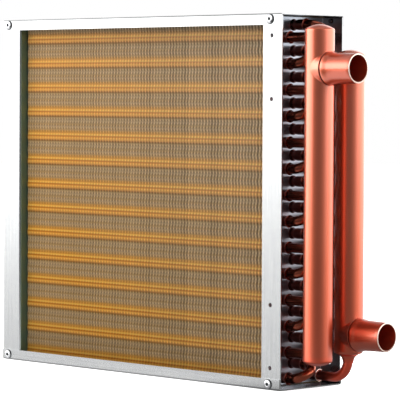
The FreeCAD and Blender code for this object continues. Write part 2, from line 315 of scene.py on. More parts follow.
# %% [markdown]
# ## Collars
# A Boolean and a bevel could join a port to its header, but a bevel between two curved walls breaks up.
# The collar is a fillet surface instead: each of its lines leaves the header along the wall and arrives
# on the collar's ring along X. A cubic curve with set directions at both ends (a Hermite curve) does it
# for every line at once.

# %% Collars
COLLAR_TURNS, COLLAR_STEPS = 72, 14
COLLAR_END = HEADER - 0.8      # from the header's axis
COLLAR_RING = 16.4             # radius
COLLAR_FOOT = 18.2             # how far it reaches up and down the header
COLLAR_WRAP = 92               # how many degrees it reaches round the header, each way
INNER_EDGE = 0.93              # its hidden edge inside the header's wall, as a share of the radius


def collar(row, z):
    """Flare from the header's wall to a ring of radius r. The line at angle a starts on the wall, foot x
    cos a high and wrap x (sin a)^1.8 round the header, and ends on the ring at (r sin a, r cos a)."""
    a = np.linspace(0, 2 * np.pi, COLLAR_TURNS, endpoint=False)
    t = np.linspace(0, 1, COLLAR_STEPS)[:, None, None]
    sine, cosine = np.sin(a), np.cos(a)
    bearing = math.radians(COLLAR_WRAP) * np.sign(sine) * np.abs(sine) ** 1.8
    wall = HEADER - 0.08
    foot = np.column_stack([wall * np.cos(bearing), wall * np.sin(bearing), COLLAR_FOOT * cosine])
    ring = np.column_stack([0 * a + COLLAR_END - 0.5, COLLAR_RING * sine, COLLAR_RING * cosine])
    leave = np.column_stack([np.sin(bearing) * sine, -np.cos(bearing) * sine, -cosine])
    leave = leave * (5.0 + 6.0 * sine ** 2)[:, None]
    arrive = np.column_stack([0.4 + 4.0 * sine ** 2, 0 * a, 0 * a])
    flare = ((2 * t**3 - 3 * t**2 + 1) * foot + (t**3 - 2 * t**2 + t) * leave
             + (3 * t**2 - 2 * t**3) * ring + (t**3 - t**2) * arrive)
    lip = [(COLLAR_END - 0.1, COLLAR_RING - 0.25), (COLLAR_END, COLLAR_RING - 0.8), (COLLAR_END, 13.6),
           (COLLAR_END - 2.5, HOLE), (8.0, HOLE)]
    rim = np.stack([np.column_stack([0 * a + x, r * sine, r * cosine]) for x, r in lip])
    inner = foot * np.array([INNER_EDGE, INNER_EDGE, 1.0])
    points = np.concatenate([flare, rim, inner[None], flare[:1]]).reshape(-1, 3)
    return points + np.array([HEADER_X, row, z]), grid_faces(COLLAR_STEPS + len(lip) + 2, COLLAR_TURNS)


print("a collar is drawn with %d points" % len(collar(0, 0)[0]))

# %% [markdown]
# ## Ports
# A port is the stub that the water pipe slides onto. Its root is belled over the collar and its mouth is
# sawn and softly rounded. Where stub and collar meet, a dark line of painted shade lies in the groove.
# The colour comes later, with the copper, but the line follows the joint, so its strength is kept here
# as a number on each point of the mesh, which a material can read.

# %% Ports
PORT_MOUTH = 49.5              # from the header's axis
PORT_WALL = 1.6
SHADE_LINE_PAST, SHADE_LINE_WIDTH = 0.6, 0.9   # the painted shade line's middle, past the joint, and its half width


def point_places(made):
    """Places of a piece's points in millimetres, one row to a point."""
    flat = np.empty(3 * len(made.data.vertices))
    made.data.vertices.foreach_get("co", flat)
    return flat.reshape(-1, 3) / MM


def mark(made, name, values):
    """Keeps one number on each point of a piece, under a name."""
    made.data.attributes.new(name, "FLOAT", "POINT").data.foreach_set("value", values.astype(np.float32))
    print("%-24s %6d points marked with %s" % (made.name, len(values), name))


def port(name, row, z, shade_line):
    """Stub that the water pipe slides onto: a softly rounded mouth, and a belled end on the collar.
    shade_line is how dark the painted shade line is where the two meet: a bell curve of the distance from the
    joint."""
    r, bore, bell = HEADER, HEADER - PORT_WALL, COLLAR_RING
    root = [(-2.0, bore), (-2.0, 14.2), (1.3, 14.4), (1.35, bell - 0.3), (1.5, bell - 0.05), (2.0, bell),
            (3.2, bell - 0.1), (4.6, bell - 0.4), (6.0, bell - 0.8), (7.4, bell - 1.15), (9.0, bell - 1.4),
            (16.0, r + 0.4)]
    mouth = [(-4.0, r + 0.1), (-0.6, r + 0.05), (-0.2, r - 0.1), (0, r - 0.4), (0, bore + 0.3),
             (-0.2, bore + 0.08), (-0.5, bore)]
    stub = [(COLLAR_END + x, radius) for x, radius in root]
    stub += [(PORT_MOUTH + x, radius) for x, radius in mouth] + stub[:1]
    tube = lathe(stub, (HEADER_X, row, z), X_AXIS, HEADER_TURNS)
    made = piece("round_" + name, [tube, collar(row, z)], [name])
    from_line = point_places(made)[:, 0] - HEADER_X - COLLAR_END - SHADE_LINE_PAST
    mark(made, "soot", shade_line * np.exp(-(from_line / SHADE_LINE_WIDTH) ** 2))
    return made


copper_pieces.append(port("supply_port", ROWS[0], SUPPLY_PORT_Z, 1.0))
copper_pieces.append(port("return_port", ROWS[2], RETURN_PORT_Z, 0.4))

# %% [markdown]
# ## Caps and the elbow
# Three caps are plain pressed lids with a soft edge. The fourth, under the back header, is drawn down
# like a trumpet to the size of a small tube, which turns through a quarter circle to reach the lowest
# tube of the back row. Lids and trumpet are turned like the rest, and the elbow is a tube along a line,
# so nothing new is needed.

# %% Caps
INSIDE_HEADER = [(-4.0, 0), (-4.0, 12.9), (0, 13.0), (0, HEADER)]
DOME = INSIDE_HEADER + [(1.4, HEADER), (2.0, 14.15), (2.5, 13.7), (3.3, 12.3), (4.5, 9.8), (5.5, 7.0),
                        (6.2, 4.0), (6.5, 1.5), (6.55, 0)]
TRUMPET = INSIDE_HEADER + [(0.9, 14.2), (1.9, 13.6), (2.7, 12.3), (3.3, 10.6), (3.6, 9.6), (3.9, 9.2),
                           (4.2, 9.35), (4.6, 8.6), (5.4, 7.4), (6.6, 6.5), (8.4, 5.8), (10.4, 5.25),
                           (11.6, 5.0), (11.7, 4.7), (11.7, 0)]
LIDS = ((DOME, ROWS[0], SUPPLY_HIGH, 1), (DOME, ROWS[0], SUPPLY_LOW, -1),
        (DOME, ROWS[2], RETURN_HIGH, 1), (TRUMPET, ROWS[2], RETURN_LOW, -1))

lids = [lathe(shape, (HEADER_X, row, z), way * Z_AXIS, HEADER_TURNS) for shape, row, z, way in LIDS]
copper_pieces.append(piece("round_caps", lids, ["header_caps"]))

# %% Elbow
ELBOW_RADIUS = 19.0


def elbow():
    """A leg along X, a quarter circle of radius R, and a short rise inside the trumpet. At angle t the
    line stands R sin t further along X and R (1 - cos t) higher."""
    radius, row, z = ELBOW_RADIUS, ROWS[2], tube_height(ROWS[2], 0)
    leg_x, leg_r = np.array(JOINT, float).T
    t = np.linspace(0, np.pi / 2, BEND_STEPS + 1)
    top = np.array([30.0, 31.0])   # heights of the last two rings, inside the trumpet
    heading = np.concatenate([0 * leg_x, t, 0 * top + np.pi / 2])
    x = np.concatenate([leg_x, HEADER_X - radius + radius * np.sin(t), 0 * top + HEADER_X])
    height = np.concatenate([0 * leg_x + z, z + radius * (1 - np.cos(t)), top])
    centres = np.column_stack([x, 0 * x + row, height])
    side = np.column_stack([-np.sin(heading), 0 * heading, np.cos(heading)])
    radii = np.concatenate([leg_r, 0 * t + TUBE, [TUBE, 0]])
    return rings(centres, side, np.ones_like(side) * -Y_AXIS, radii)


copper_pieces.append(piece("round_elbow", [elbow()], ["return_elbow"]))

# %% [markdown]
# ## Fins
# The real fins are foil a tenth of a millimetre thick, twelve to the inch, and the press leaves a
# ripple in them that stiffens the edge. A picture of lines on a block would look flat from the side, so
# all 168 are made, and numpy lays them out in one array. Each fin is one thin plate whose sideways place
# follows a zigzag up the fin. Every second fin stands a little further back, which is what makes the
# fine columns that the eye sees from a step away.

# %% Fins
FIN_PITCH = 25.4 / 12
FINS = 168
FOIL = 0.16                    # drawn a little thick, so that the edge catches light
RIPPLE, RIPPLE_STEP = 0.55, PITCH / 4
SET_BACK = 0.5                 # how much further back every second fin stands


def fin_plates():
    """Point (fin, height, corner): x = fin's place + ripple x zigzag(height) +- half the foil,
    y = front or back edge. The top and bottom rows fold the foil shut."""
    chance = np.random.default_rng(12)
    steps = int(round(FIN_HEIGHT / RIPPLE_STEP))
    z = FIN_BOTTOM + np.arange(steps + 1) * RIPPLE_STEP
    z = np.concatenate([z[:1], z, z[-1:]])
    shut = np.ones(len(z))
    shut[[0, -1]] = 0
    zigzag = np.where(np.arange(len(z)) % 2, 1.0, -1.0)
    zigzag[0], zigzag[-1] = zigzag[1], zigzag[-2]
    place = (np.arange(FINS) + 0.5 - FINS / 2) * FIN_PITCH
    lean = chance.uniform(-0.1, 0.1, FINS)
    edge = FIN_FACE - SET_BACK * (np.arange(FINS) % 2) - chance.uniform(0, 0.12, FINS)
    thick = np.array([-1, -1, 1, 1]) * FOIL / 2
    front = np.array([-1, 1, 1, -1])
    x = (place + lean)[:, None, None] + RIPPLE * zigzag[None, :, None] + shut[None, :, None] * thick
    y = edge[:, None, None] * front + 0 * x
    points = np.stack([x, y, 0 * x + z[None, :, None]], -1)
    faces = grid_faces(len(z), 4)
    faces = faces[None] + (np.arange(FINS) * len(z) * 4)[:, None, None]
    return points.reshape(-1, 3), faces.reshape(-1, 4)


fins = piece("thin_fins", [fin_plates()], ["fin_pack"], sharp=5)

# %% [markdown]
# No two fins are quite alike, and every second one is painted darker, as shade. The foil needs to
# know which fin a point is on, so the points are numbered by their place along X, and each fin gets a
# brightness from 0 to 1: below a quarter where it stands out, and above three quarters where it
# stands back.

# %% A brightness for every fin
number = np.round(point_places(fins)[:, 0] / FIN_PITCH + FINS / 2 - 0.5).astype(int)
own_shade = np.random.default_rng(5).uniform(0, 0.25, FINS + 1)
mark(fins, "shade", (number % 2) * 0.75 + own_shade[np.clip(number, 0, FINS)])

# %% [markdown]
# ## Rivets
# The corners are held by blind rivets. Each has a low dome with a small hole in the middle, where the
# steel pin snapped off, and a swollen tail behind the sheets. It is round all over, so one profile is
# turned, and copied to each corner by place.

# %% Rivets
RIVET = [(-3.9, 0), (-3.9, 1.9), (-3.5, 2.3), (-2.9, 2.3), (-2.4, 1.6), (0, 1.6), (0, 5.0), (0.15, 5.1),
         (0.35, 5.1), (0.7, 4.85), (1.05, 4.4), (1.35, 3.7), (1.58, 2.8), (1.69, 2.0), (1.6, 1.7),
         (1.2, 1.55), (-1.2, 1.5), (-1.3, 0)]
RIVET_X = (-HALF_CASE + 9.0, HALF_CASE - 15.0)
RIVET_Z = (5.5, CASE_HEIGHT - 5.5)

rivet_pieces = []
for name, out in (("front_rivets", -1), ("back_rivets", 1)):
    heads = [lathe(RIVET, (x, out * HALF_DEPTH, z), out * Y_AXIS, 32) for x in RIVET_X for z in RIVET_Z]
    rivet_pieces.append(piece("domed_" + name, heads, [name]))

# %% [markdown]
# ## Rims of the tube holes
# The tube sheet's holes are pressed through from the fin side, so a short rim stands round each tube
# where it leaves the sheet. The sheet could be remodelled with them, but it is a CAD node and good as it
# is, so a turned ring is set over each hole. This piece replaces no node.

# %% Rims
RIM = [(-0.6, 4.7), (-0.6, 5.9), (0.2, 5.8), (0.7, 5.45), (1.5, 5.35), (1.7, 5.2), (1.7, 4.9), (1.5, 4.7),
       (-0.6, 4.7)]
rims = [lathe(RIM, (SHEET_FACE, row, tube_height(row, i)), X_AXIS, 24)
        for row in ROWS for i in range(TUBES_IN_ROW)]
rim_piece = piece("tube_hole_rims", rims)

# %% [markdown]
# ## Colours and nodes
# A material is a small net of nodes, and it could be clicked together by hand. In a script, two helpers
# are enough. Colours are written as the eye reads them, in hex, and the shader wants linear light, so
# one function converts them. The other adds a node, sets it and links it.

# %% Helpers for materials
def colour(hex_code):
    """sRGB hex to linear: c / 12.92 below 0.04045, and ((c + 0.055) / 1.055) ^ 2.4 above it."""
    parts = [int(hex_code[i:i + 2], 16) / 255 for i in (1, 3, 5)]
    return tuple(c / 12.92 if c < 0.04045 else ((c + 0.055) / 1.055) ** 2.4 for c in parts) + (1.0,)


def add(tree, kind, inputs=None, **settings):
    """One node. inputs maps a socket's name or number to a value or to another node's socket."""
    made = tree.nodes.new(kind)
    for key, value in settings.items():
        setattr(made, key, value)
    for key, value in (inputs or {}).items():
        if isinstance(value, bpy.types.NodeSocket):
            tree.links.new(value, made.inputs[key])
        else:
            made.inputs[key].default_value = value
    return made


def finish(name):
    """An empty node material, and its tree."""
    material = bpy.data.materials.new(name)
    material.use_nodes = True
    material.node_tree.nodes.clear()
    return material, material.node_tree


def ramp(node, stops):
    """Sets the stops of a colour ramp from pairs of place and hex colour."""
    for number, (at, hex_code) in enumerate(stops):
        stop = node.color_ramp.elements[number] if number < 2 else node.color_ramp.elements.new(at)
        stop.position, stop.color = at, colour(hex_code)


def coat(material, shader, objects):
    """Links a shader to the material's output, and gives objects the material in place of any they have."""
    add(material.node_tree, "ShaderNodeOutputMaterial", {"Surface": shader.outputs[0]})
    for o in objects:
        o.data.materials.clear()
        o.data.materials.append(material)
    print("%-26s %2d nodes, on %d objects" % (material.name, len(material.node_tree.nodes), len(objects)))


print("half grey on the screen, #808080, is %.3f in linear light" % colour("#808080")[0])

# %% [markdown]
# ## Drawn copper
# Copper tube is drawn through a die and left bare. It is a pure metal, so its colour is the colour of
# its reflection. Handling and brazing heat leave faint warm clouds a few centimetres across, and the
# die leaves a fine grain. The clouds change the colour a little, and the grain the roughness and bump.
# A thin clear film keeps it from tarnishing, and adds the pale part of the highlights. Low down it is
# half worn off.

# %% Copper: clouds, grain and film
CLOUD, GRAIN = 35 * MM, 0.9 * MM

copper, tree = finish("drawn_copper")
where = add(tree, "ShaderNodeTexCoord").outputs["Object"]
axes = add(tree, "ShaderNodeSeparateXYZ", {"Vector": where})
clouds = add(tree, "ShaderNodeTexNoise", {"Vector": where, "Scale": 1 / CLOUD, "Detail": 3.0})
grain = add(tree, "ShaderNodeTexNoise", {"Vector": where, "Scale": 1 / GRAIN, "Detail": 2.0})
rough = add(tree, "ShaderNodeMapRange", {"Value": grain.outputs["Fac"], "From Min": 0.3, "From Max": 0.7,
                                         "To Min": 0.38, "To Max": 0.44})
bump = add(tree, "ShaderNodeBump", {"Height": grain.outputs["Fac"], "Strength": 0.04, "Distance": 0.1 * MM})
film = add(tree, "ShaderNodeMapRange", {"Value": axes.outputs["Z"], "From Min": 150 * MM,
                                        "From Max": 40 * MM, "To Min": 0.85, "To Max": 0.53})
tint = add(tree, "ShaderNodeMix", {"Factor": clouds.outputs["Fac"], 6: colour("#F27850"),
                                   7: colour("#EA6E46")}, data_type="RGBA").outputs[2]
print("copper clouds of %.0f mm, and a grain of %.1f mm" % (CLOUD / MM, GRAIN / MM))

# %% [markdown]
# The copper isn't the same everywhere. Low down and on the stubs it is painted a deeper red, as shade.
# The front header's foot, and all copper as low, is painted a bright orange, as reflected light. The
# elbow's end is darkened by the flame and by painted shade, the sawn mouths are bare and pale, and a
# line of painted shade lies at each stub's joint. Each could be drawn on an image. Here each is a
# factor between 0 and 1, worked out from the place, and one loop lays the colours over each other.

# %% Copper: painted shade and light, burnt and bare places
SAWN_X = HEADER_X + PORT_MOUTH - 0.3
# Axis, where it begins and is full in millimetres, its share when full, and colour
# The stubs and all that is low down are painted darker, as shade. The front header's foot is painted orange,
# as reflected light. The elbow's end is flame oxide and painted shade.
REDDER = (("X", 249, 256, 0.6, "#D0583A"),     # the stubs
          ("Z", 150, 40, 0.8, "#DC6446"),      # all that is low down
          ("Z", 36, 24, 1.0, "#FF5A34"),       # the front header's foot
          ("X", 220, 206, 0.8, "#6A2C22"))     # the elbow's end at the tube sheet

layers = []
for axis, begins, full, most, hex_code in REDDER:
    share = add(tree, "ShaderNodeMapRange", {"Value": axes.outputs[axis], "From Min": begins * MM,
                                             "From Max": full * MM, "To Max": most})
    layers.append((share.outputs["Result"], hex_code))
sawn = add(tree, "ShaderNodeMath", {0: axes.outputs["X"], 1: SAWN_X * MM}, operation="GREATER_THAN")
# The dark line at each joint, read from the mesh, is painted shade.
soot = add(tree, "ShaderNodeAttribute", attribute_name="soot")
layers += [(sawn.outputs[0], "#FADCCC"), (soot.outputs["Fac"], "#5A3022")]
for share, hex_code in layers:
    tint = add(tree, "ShaderNodeMix", {"Factor": share, 6: tint, 7: colour(hex_code)},
               data_type="RGBA").outputs[2]
shader = add(tree, "ShaderNodeBsdfPrincipled", {
    "Base Color": tint, "Roughness": rough.outputs["Result"], "Normal": bump.outputs["Normal"],
    "Metallic": 1.0, "Coat Weight": film.outputs["Result"], "Coat Roughness": 0.2, "Coat IOR": 1.9})
WIDE = ("header", "port", "caps", "elbow")
coat(copper, shader, [o for o in copper_pieces if o.name.endswith(WIDE)])

# %% [markdown]
# ## Scorched and shaded copper
# The small tubes pass through the brazing flame, which leaves a thin dark oxide. The far bends keep
# their colour, and it is red further in. Close to the pipe end's sheet, where the tubes lie in shade
# between sheet and headers, it is nearly a grey brown: oxide and painted shade. By the headers it is a
# little brighter again, as a painted reflection. One colour ramp along X gives all of that, and clouds
# push it back and forth by a few millimetres, as a flame does. The lips of the back row's cups are
# painted pale, as a highlight. The rims of the holes take the same ramp, and are painted dark too.

# %% Scorched copper, with painted shade and highlights
# Stops for oxide and painted shade along X. The last stop, by the headers, is a painted reflection.
HEAT_AND_SHADE = ((0.0, "#EE7C5C"), (0.3, "#D86C50"), (0.8, "#A85244"), (0.89, "#704A4A"), (0.93, "#78443C"),
        (1.0, "#B45C42"))

scorched_and_shaded, tree = finish("flame_darkened_copper")
where = add(tree, "ShaderNodeTexCoord").outputs["Object"]
axes = add(tree, "ShaderNodeSeparateXYZ", {"Vector": where})
clouds = add(tree, "ShaderNodeTexNoise", {"Vector": where, "Scale": 1 / (12 * MM), "Detail": 3.0})
heat_and_shade = add(tree, "ShaderNodeMath", {0: clouds.outputs["Fac"], 1: 8 * MM, 2: axes.outputs["X"]},
           operation="MULTIPLY_ADD")
heat_and_shade = add(tree, "ShaderNodeMapRange", {"Value": heat_and_shade.outputs[0], "From Min": -SHEET_FACE * MM,
                                        "From Max": (HEADER_X - 10) * MM})
oxide_and_shade = add(tree, "ShaderNodeValToRGB", {"Fac": heat_and_shade.outputs["Result"]})
ramp(oxide_and_shade, HEAT_AND_SHADE)
# The back row's cup lips are painted pale, as a highlight.
lip = add(tree, "ShaderNodeMath", {0: axes.outputs["X"], 1: (JOINT_X - 0.1) * MM, 2: 0.4 * MM},
          operation="COMPARE")
back_row = add(tree, "ShaderNodeMath", {0: axes.outputs["Y"], 1: 10 * MM}, operation="GREATER_THAN")
painted_lip_highlight = add(tree, "ShaderNodeMath", {0: lip.outputs[0], 1: back_row.outputs[0]}, operation="MULTIPLY")
tint = add(tree, "ShaderNodeMix", {"Factor": painted_lip_highlight.outputs[0], 6: oxide_and_shade.outputs["Color"],
                                   7: colour("#F6D8CC")}, data_type="RGBA")
rough = add(tree, "ShaderNodeMapRange", {"Value": clouds.outputs["Fac"], "To Min": 0.16, "To Max": 0.3})
shader = add(tree, "ShaderNodeBsdfPrincipled", {
    "Base Color": tint.outputs[2], "Roughness": rough.outputs["Result"], "Metallic": 1.0})
coat(scorched_and_shaded, shader, [o for o in copper_pieces if not o.name.endswith(WIDE)] + [rim_piece])

# %% [markdown]
# ## Galvanised sheet
# The casing is steel with a thin zinc coat. Zinc freezes in crystals a few millimetres wide, each with
# its own slight shine, and the rolls leave fine streaks along each strip, so the sheet is pale and
# softly mirroring. The crystals could be a picture, but a Voronoi pattern makes such cells by itself.
# The streaks are noise that is stretched fifty times: upwards on the end sheets, along X on the lips of
# the two channels, which were folded from strips that lay that way.

# %% Galvanised sheet: crystals and streaks
SPANGLE, STREAK = 4 * MM, 1.6 * MM
LIP_EDGE = CASE_HEIGHT / 2 - CHANNEL_LIP - 0.1   # from half height to just short of a channel's lip

zinc, tree = finish("galvanised_steel")
where = add(tree, "ShaderNodeTexCoord").outputs["Object"]
axes = add(tree, "ShaderNodeSeparateXYZ", {"Vector": where})
spangle = add(tree, "ShaderNodeTexVoronoi", {"Vector": where, "Scale": 1 / SPANGLE})
crystal = add(tree, "ShaderNodeSeparateColor", {"Color": spangle.outputs["Color"]})
tint = add(tree, "ShaderNodeMix", {"Factor": crystal.outputs["Red"], 6: colour("#B0B1B2"),
                                   7: colour("#B3B4B4")}, data_type="RGBA")
rough = add(tree, "ShaderNodeMapRange", {"Value": crystal.outputs["Green"], "To Min": 0.2, "To Max": 0.215})
grain = add(tree, "ShaderNodeTexNoise", {"Vector": where, "Scale": 1 / (0.8 * MM), "Detail": 2.0})
bump = add(tree, "ShaderNodeBump", {"Height": grain.outputs["Fac"], "Strength": 0.012, "Distance": 0.1 * MM})
height = add(tree, "ShaderNodeMath", {0: axes.outputs["Z"], 1: CASE_HEIGHT / 2 * MM}, operation="SUBTRACT")
height = add(tree, "ShaderNodeMath", {0: height.outputs[0]}, operation="ABSOLUTE")
channel = add(tree, "ShaderNodeMath", {0: height.outputs[0], 1: LIP_EDGE * MM}, operation="GREATER_THAN")
tall = add(tree, "ShaderNodeMapping", {"Vector": where, "Scale": (1.0, 1.0, 0.02)})
long = add(tree, "ShaderNodeMapping", {"Vector": where, "Scale": (0.02, 1.0, 1.0)})
drawn_out = add(tree, "ShaderNodeMix", {"Factor": channel.outputs[0], 4: tall.outputs[0],
                                        5: long.outputs[0]}, data_type="VECTOR")
rolling = add(tree, "ShaderNodeTexNoise", {"Vector": drawn_out.outputs[1], "Scale": 1 / STREAK,
                                           "Detail": 2.0})
streaks = add(tree, "ShaderNodeMapRange", {"Value": rolling.outputs["Fac"], "From Min": 0.3,
                                           "From Max": 0.7, "To Min": 0.94, "To Max": 1.04})
print("zinc crystals of %.0f mm, and streaks %.1f mm wide" % (SPANGLE / MM, STREAK / MM))

# %% [markdown]
# Three places differ. Faces that look down are painted dark grey, as shade. The left web, which shows
# past the fins' edge, is painted green-grey on its inner face, as a reflection of the fins, and is
# duller. The web at the pipe end is a little bluer. Each is picked out by its X and by which way its
# faces point.

# %% Galvanised sheet: under the folds, and the two webs
facing = add(tree, "ShaderNodeSeparateXYZ", {"Vector": add(tree, "ShaderNodeTexCoord").outputs["Normal"]})
# Faces that look down are painted dark grey, as shade.
painted_underside_shade = add(tree, "ShaderNodeMapRange", {"Value": facing.outputs["Z"], "From Min": -0.3, "From Max": -0.65})
tint = add(tree, "ShaderNodeMix", {"Factor": painted_underside_shade.outputs["Result"], 6: tint.outputs[2],
                                   7: colour("#4A4B4C")}, data_type="RGBA")
tint = add(tree, "ShaderNodeVectorMath", {0: tint.outputs[2], "Scale": streaks.outputs["Result"]},
           operation="SCALE").outputs[0]
webs = []
# The left web's inner face is painted green-grey, as a reflection of the fins.
for x, hex_code in ((-HALF_FINNED, "#7E9E94"), (SHEET_FACE, "#B8BEC8")):
    web = add(tree, "ShaderNodeMath", {0: axes.outputs["X"], 1: x * MM, 2: 0.3 * MM}, operation="COMPARE")
    web = add(tree, "ShaderNodeMath", {0: web.outputs[0], 1: facing.outputs["X"]}, operation="MULTIPLY")
    tint = add(tree, "ShaderNodeMix", {"Factor": web.outputs[0], 6: tint, 7: colour(hex_code)},
               data_type="RGBA").outputs[2]
    webs.append(web.outputs[0])
duller = add(tree, "ShaderNodeMath", {0: webs[1], 1: 0.3, 2: webs[0]}, operation="MULTIPLY_ADD")
duller = add(tree, "ShaderNodeMath", {0: duller.outputs[0], 1: 0.3, 2: rough.outputs["Result"]},
             operation="MULTIPLY_ADD", use_clamp=True)
shader = add(tree, "ShaderNodeBsdfPrincipled", {
    "Base Color": tint, "Roughness": duller.outputs[0], "Normal": bump.outputs["Normal"], "Metallic": 1.0})
CASING = ("top_channel", "bottom_channel", "header_end_sheet", "bend_end_sheet")
coat(zinc, shader, [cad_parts[name] for name in CASING])

# %% [markdown]
# ## Fin foil
# The foil is aluminium, and its warm tint is painted light reflected from the copper. Light goes back
# and forth between two fins before it leaves, so in front of each copper tube the foil glows gold, in
# two bright lines with a brown one between and a brown edge below, and the middle row glows weakly
# halfway up. To trace those bounces would take thousands of samples, so the glow is painted: a colour
# ramp over the height, repeated once to a tube. It looks the same from every side, and turns with the part.

# %% Fin foil: the glow of the tubes
BAND_LIFT = 1.5                # the glow sits a little above its tube
GLOW = ((0.00, "#D4B076"), (0.12, "#DCC096"), (0.26, "#D6BA88"), (0.31, "#B0803C"), (0.35, "#C48C44"),
        (0.38, "#F0B458"), (0.45, "#FFCC60"), (0.50, "#D88E2C"), (0.53, "#D88E2C"), (0.57, "#FFDA70"),
        (0.61, "#FFD060"), (0.64, "#E6AA48"), (0.73, "#E0AC58"), (0.77, "#D8B47A"), (0.90, "#DCC096"),
        (1.00, "#D4B076"))

foil, tree = finish("lacquered_aluminium_foil")
where = add(tree, "ShaderNodeTexCoord").outputs["Object"]
axes = add(tree, "ShaderNodeSeparateXYZ", {"Vector": where})
lowest = tube_height(ROWS[0], 0) + BAND_LIFT - PITCH / 2
phase = add(tree, "ShaderNodeMath", {0: axes.outputs["Z"], 1: 1 / (PITCH * MM), 2: -lowest / PITCH},
            operation="MULTIPLY_ADD")
phase = add(tree, "ShaderNodeMath", {0: phase.outputs[0]}, operation="FRACT").outputs[0]
# The ramp is painted light, reflected from the copper tubes.
glow = add(tree, "ShaderNodeValToRGB", {"Fac": phase})
ramp(glow, GLOW)
corner = add(tree, "ShaderNodeMath", {0: axes.outputs["X"], 1: axes.outputs["Z"]}, operation="ADD")
corner = add(tree, "ShaderNodeMapRange", {"Value": corner.outputs[0], "From Min": 0.0, "From Max": 0.5,
                                          "To Max": 0.5})
foil_with_painted_glow = add(tree, "ShaderNodeMix", {"Factor": corner.outputs["Result"], 6: glow.outputs["Color"],
                                      7: colour("#C6B8A6")}, data_type="RGBA")
print("the glow repeats every %.1f mm and starts at %.1f mm" % (PITCH, lowest))

# %% [markdown]
# Every second fin is painted darker, as shade, the more so towards the pipe end, and the glow evens
# these columns out again. The ripple makes fine light and dark steps up each fin, half a step apart from
# one fin to the next, which gives a knitted look. These steps are painted as a sine of 3.2 mm, as coarse
# as it needs to be to show. Last, the whole face is painted lighter to the right and to the top, as light
# falls there, and paler in that upper corner.

# %% Fin foil: painted shade columns, ripple and light slope
RIPPLE_SEEN = 3.2 * MM
BAND_MIDDLE = 0.54             # of the way from one repeat of the glow to the next

shade = add(tree, "ShaderNodeAttribute", attribute_name="shade").outputs["Fac"]
# Every second fin is painted darker, as shade.
painted_column_shade = add(tree, "ShaderNodeMapRange", {"Value": axes.outputs["X"], "From Min": -0.17, "From Max": 0.05,
                                          "To Min": 0.6, "To Max": 0.36}).outputs["Result"]
light = add(tree, "ShaderNodeMapRange", {"Value": shade, "To Min": painted_column_shade, "To Max": 1.0})
stagger = add(tree, "ShaderNodeMath", {0: shade, 1: math.pi}, operation="MULTIPLY")
# The ripple's light and dark steps are painted.
ripple = add(tree, "ShaderNodeMath", {0: axes.outputs["Z"], 1: 2 * math.pi / RIPPLE_SEEN,
                                      2: stagger.outputs[0]}, operation="MULTIPLY_ADD")
ripple = add(tree, "ShaderNodeMath", {0: ripple.outputs[0]}, operation="SINE")
ripple = add(tree, "ShaderNodeMath", {0: ripple.outputs[0], 1: 0.16, 2: 1.0}, operation="MULTIPLY_ADD")
light = add(tree, "ShaderNodeMath", {0: light.outputs["Result"], 1: ripple.outputs[0]}, operation="MULTIPLY")
away = add(tree, "ShaderNodeMath", {0: phase, 1: BAND_MIDDLE}, operation="SUBTRACT")
away = add(tree, "ShaderNodeMath", {0: away.outputs[0]}, operation="ABSOLUTE")
band = add(tree, "ShaderNodeMapRange", {"Value": away.outputs[0], "From Min": 0.26, "From Max": 0.1,
                                        "To Max": painted_column_shade})
light = add(tree, "ShaderNodeMix", {"Factor": band.outputs["Result"], "A": light.outputs[0], "B": 1.05})
# The face is painted lighter to the right and to the top, as painted light.
slope = add(tree, "ShaderNodeMath", {0: axes.outputs["X"], 1: 0.68, 2: axes.outputs["Z"]},
            operation="MULTIPLY_ADD")
slope = add(tree, "ShaderNodeMapRange", {"Value": slope.outputs[0], "From Min": -0.1, "From Max": 0.45,
                                         "To Min": 0.71, "To Max": 1.13})
light = add(tree, "ShaderNodeMath", {0: light.outputs[0], 1: slope.outputs["Result"]}, operation="MULTIPLY")
lit = add(tree, "ShaderNodeVectorMath", {0: foil_with_painted_glow.outputs[2], "Scale": light.outputs[0]}, operation="SCALE")
shader = add(tree, "ShaderNodeBsdfPrincipled", {"Base Color": lit.outputs[0], "Roughness": 0.45,
                                                "Metallic": 0.2})
coat(foil, shader, [fins])

# %% [markdown]
# ## Rivet metal
# Blind rivets are turned aluminium with no lacquer. The dome's middle is bright, and its thin rim,
# which sits against the sheet, is painted dark, as shade. A map of the height over the sheet does both
# with one material, where two materials would show a hard line.

# %% Rivet metal
plain, tree = finish("plain_aluminium")
where = add(tree, "ShaderNodeTexCoord").outputs["Object"]
axes = add(tree, "ShaderNodeSeparateXYZ", {"Vector": where})
grain = add(tree, "ShaderNodeTexNoise", {"Vector": where, "Scale": 1 / (0.7 * MM), "Detail": 2.0})
rough = add(tree, "ShaderNodeMapRange", {"Value": grain.outputs["Fac"], "To Min": 0.15, "To Max": 0.22})
depth = add(tree, "ShaderNodeMath", {0: axes.outputs["Y"]}, operation="ABSOLUTE")
dome = add(tree, "ShaderNodeMapRange", {"Value": depth.outputs[0], "From Min": (HALF_DEPTH + 0.9) * MM,
                                        "From Max": (HALF_DEPTH + 1.4) * MM})
# The rim is painted dark, as shade.
tint = add(tree, "ShaderNodeMix", {"Factor": dome.outputs["Result"], 6: colour("#6E7072"),
                                   7: colour("#CBCCCE")}, data_type="RGBA")
shader = add(tree, "ShaderNodeBsdfPrincipled", {"Base Color": tint.outputs[2], "Metallic": 1.0,
                                                "Roughness": rough.outputs["Result"]})
coat(plain, shader, rivet_pieces)

# %% [markdown]
# ## Studio
# The coil stands on a white floor in front of white paper, where the camera or clear glass looks. Metal
# mirrors the room instead: a broad white lamp on the left, a weaker one on the right, a dark wall on the
# side where the camera stands, and a ceiling that dims overhead but for a small bright patch. The wall
# is what draws the brown line down each copper pipe. Area lamps and cards could do the same, but soft
# round patches in the world add no noise and are easy to move.

